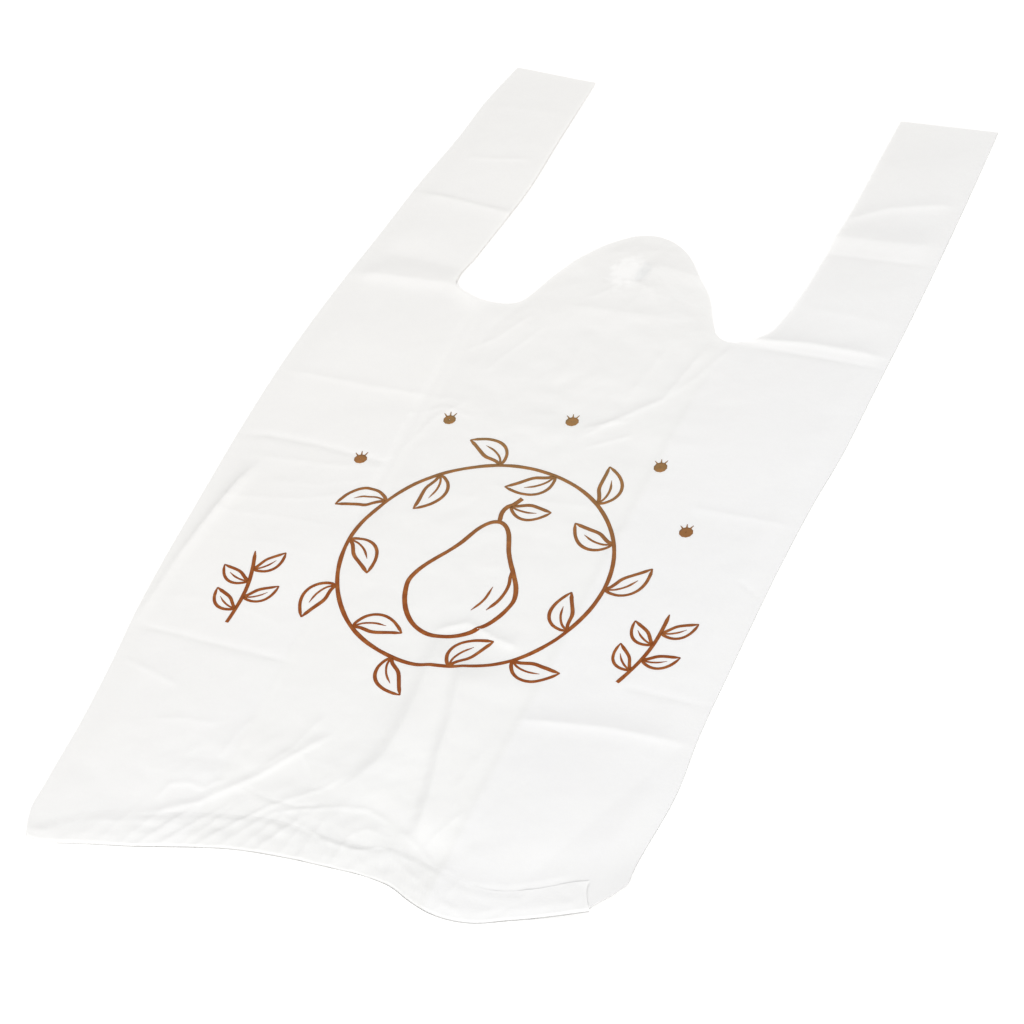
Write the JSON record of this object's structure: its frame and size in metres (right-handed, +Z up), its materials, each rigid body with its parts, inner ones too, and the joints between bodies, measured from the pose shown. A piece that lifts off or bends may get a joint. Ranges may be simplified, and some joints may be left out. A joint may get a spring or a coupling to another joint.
{
  "type": "plastic carrier bag",
  "caption": "Vest-style carrier bag of thin translucent film, lying flat: tucked side gussets, loop handles, neckline tab and a folded, sealed foot, with a printed front.",
  "frame": {"origin": "middle of the bag's outline on the surface that it lies on, under its back", "axes": "+Z up, out of the printed front; +Y up the bag, from the foot to the handles; X across it, from edge to edge"},
  "size_m": [0.298, 0.5582, 0.0057],
  "materials": {
    "film": "translucent white blown polyethylene film, satin, crumpled",
    "ink": "brown flexographic ink, matt"
  },
  "bodies": {
    "root": {"bag_film": "film", "print_wreath": "ink", "print_pear": "ink", "print_sprig_left": "ink", "print_sprig_right": "ink", "print_berry_1": "ink", "print_berry_2": "ink", "print_berry_3": "ink", "print_berry_4": "ink", "print_berry_5": "ink"}
  },
  "joints": []
}
